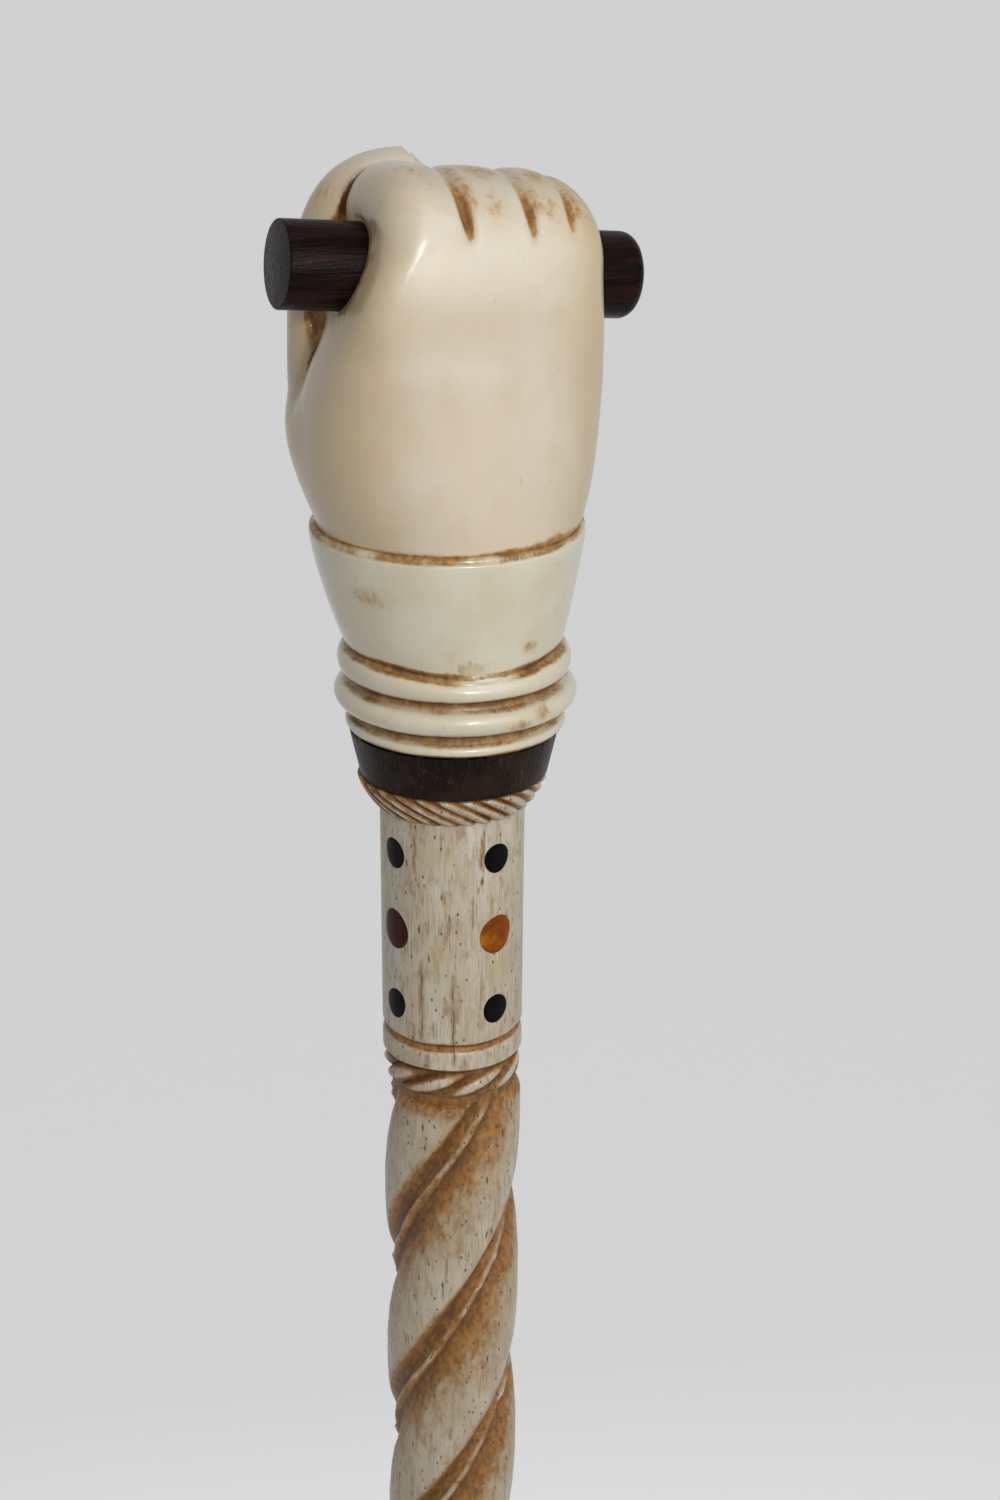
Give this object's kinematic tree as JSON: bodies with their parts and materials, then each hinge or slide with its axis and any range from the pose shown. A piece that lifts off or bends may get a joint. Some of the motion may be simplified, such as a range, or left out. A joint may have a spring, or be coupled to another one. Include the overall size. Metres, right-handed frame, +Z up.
{
  "type": "walking stick",
  "caption": "Rigid walking stick: a carved fist gripping a wooden bar, a turned cuff and rings, an inlaid and twist-carved bone shaft, and a metal-tipped ferrule.",
  "frame": {"origin": "centre of the tip's flat foot, on the stick's axis", "axes": "+Z up along the stick's axis, from the tip to the fist; +X along the bar towards the little finger; the back of the hand faces -Y"},
  "size_m": [0.0472, 0.0352, 0.8806],
  "materials": {
    "hand_ivory": "gloss",
    "cuff_ivory": "gloss",
    "shaft_bone": "satin",
    "collar_bone": "satin",
    "bar_wood": "gloss",
    "spacer_wood": "satin",
    "black_inlay": "gloss",
    "amber_inlay": "gloss",
    "ferrule_brass": "satin",
    "tip_iron": "satin"
  },
  "bodies": {
    "root": {"hand": "hand_ivory", "grip_bar": "bar_wood", "cuff": "cuff_ivory", "spacer_ring": "spacer_wood", "rope_collar": "collar_bone", "shaft": "shaft_bone", "centre_rod": "tip_iron", "black_dot_upper_1": "black_inlay", "black_dot_upper_2": "black_inlay", "black_dot_upper_3": "black_inlay", "black_dot_upper_4": "black_inlay", "amber_dot_1": "amber_inlay", "amber_dot_2": "amber_inlay", "amber_dot_3": "amber_inlay", "amber_dot_4": "amber_inlay", "black_dot_lower_1": "black_inlay", "black_dot_lower_2": "black_inlay", "black_dot_lower_3": "black_inlay", "black_dot_lower_4": "black_inlay", "ferrule": "ferrule_brass", "ferrule_nail_right": "ferrule_brass", "ferrule_nail_left": "ferrule_brass", "tip": "tip_iron"}
  },
  "joints": []
}
